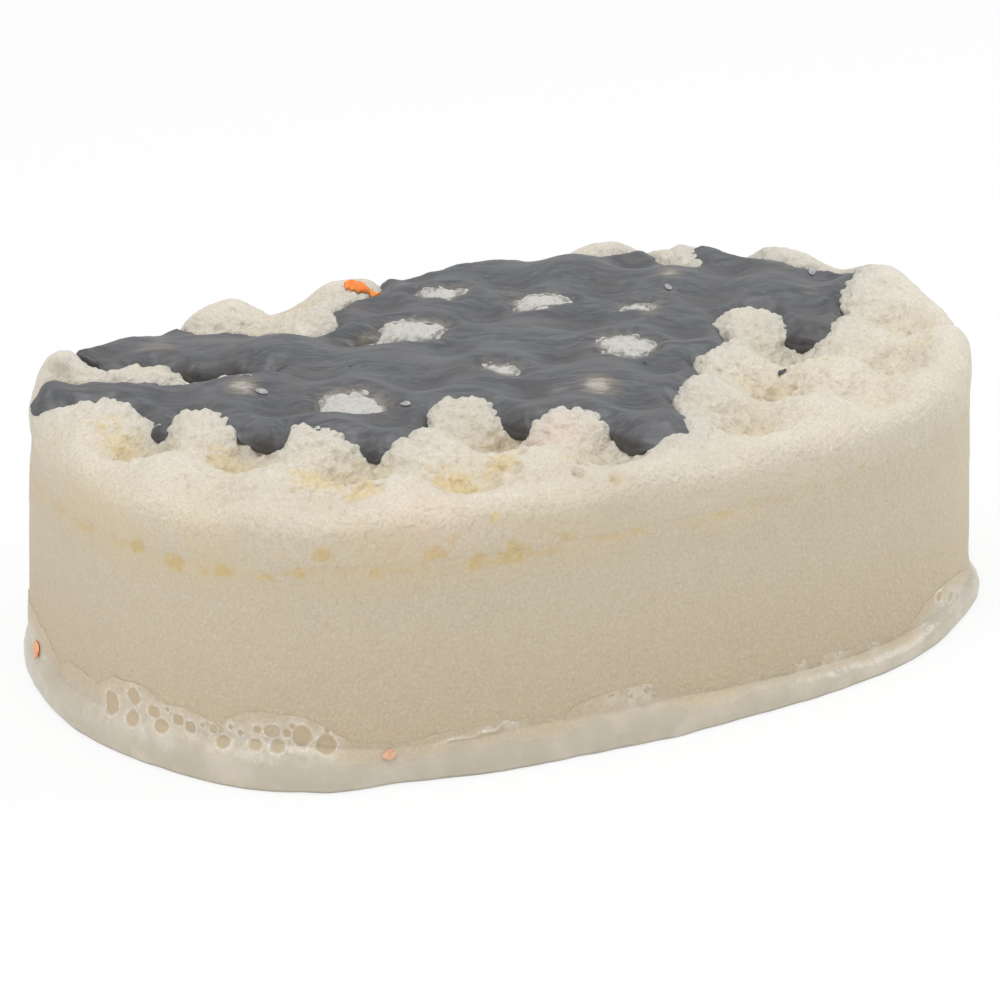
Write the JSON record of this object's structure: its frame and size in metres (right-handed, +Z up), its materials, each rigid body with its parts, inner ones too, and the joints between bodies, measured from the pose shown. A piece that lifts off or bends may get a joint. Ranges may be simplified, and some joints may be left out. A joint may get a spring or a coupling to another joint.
{
  "type": "soap sponge",
  "caption": "Oval bath sponge of convoluted foam soaked with soap, with a poured soap topping over its peaks.",
  "frame": {"origin": "under the middle of the block, on the surface that it rests on", "axes": "+X along the block's length, +Y from its front to its back, +Z up through its topping"},
  "size_m": [0.135, 0.0916, 0.0397],
  "materials": {
    "foot_soap": "translucent off-white soap, glossy, with froth",
    "soaked_foam": "matt open-cell foam full of beige soap",
    "whitened_foam": "matt crumbly white soap over foam",
    "grey_soap": "satin poured soap",
    "orange_soap": "matt",
    "white_soap": "satin"
  },
  "bodies": {
    "root": {"soap_foot": "foot_soap", "lower_foam_layer": "soaked_foam", "upper_foam_layer": "whitened_foam", "grey_soap_topping": "grey_soap", "grey_soap_drip": "grey_soap", "orange_fleck_back": "orange_soap", "orange_fleck_side": "orange_soap", "orange_fleck_foot": "orange_soap", "white_soap_crumb_1": "white_soap", "white_soap_crumb_2": "white_soap", "white_soap_crumb_3": "white_soap", "white_soap_crumb_4": "white_soap"}
  },
  "joints": []
}
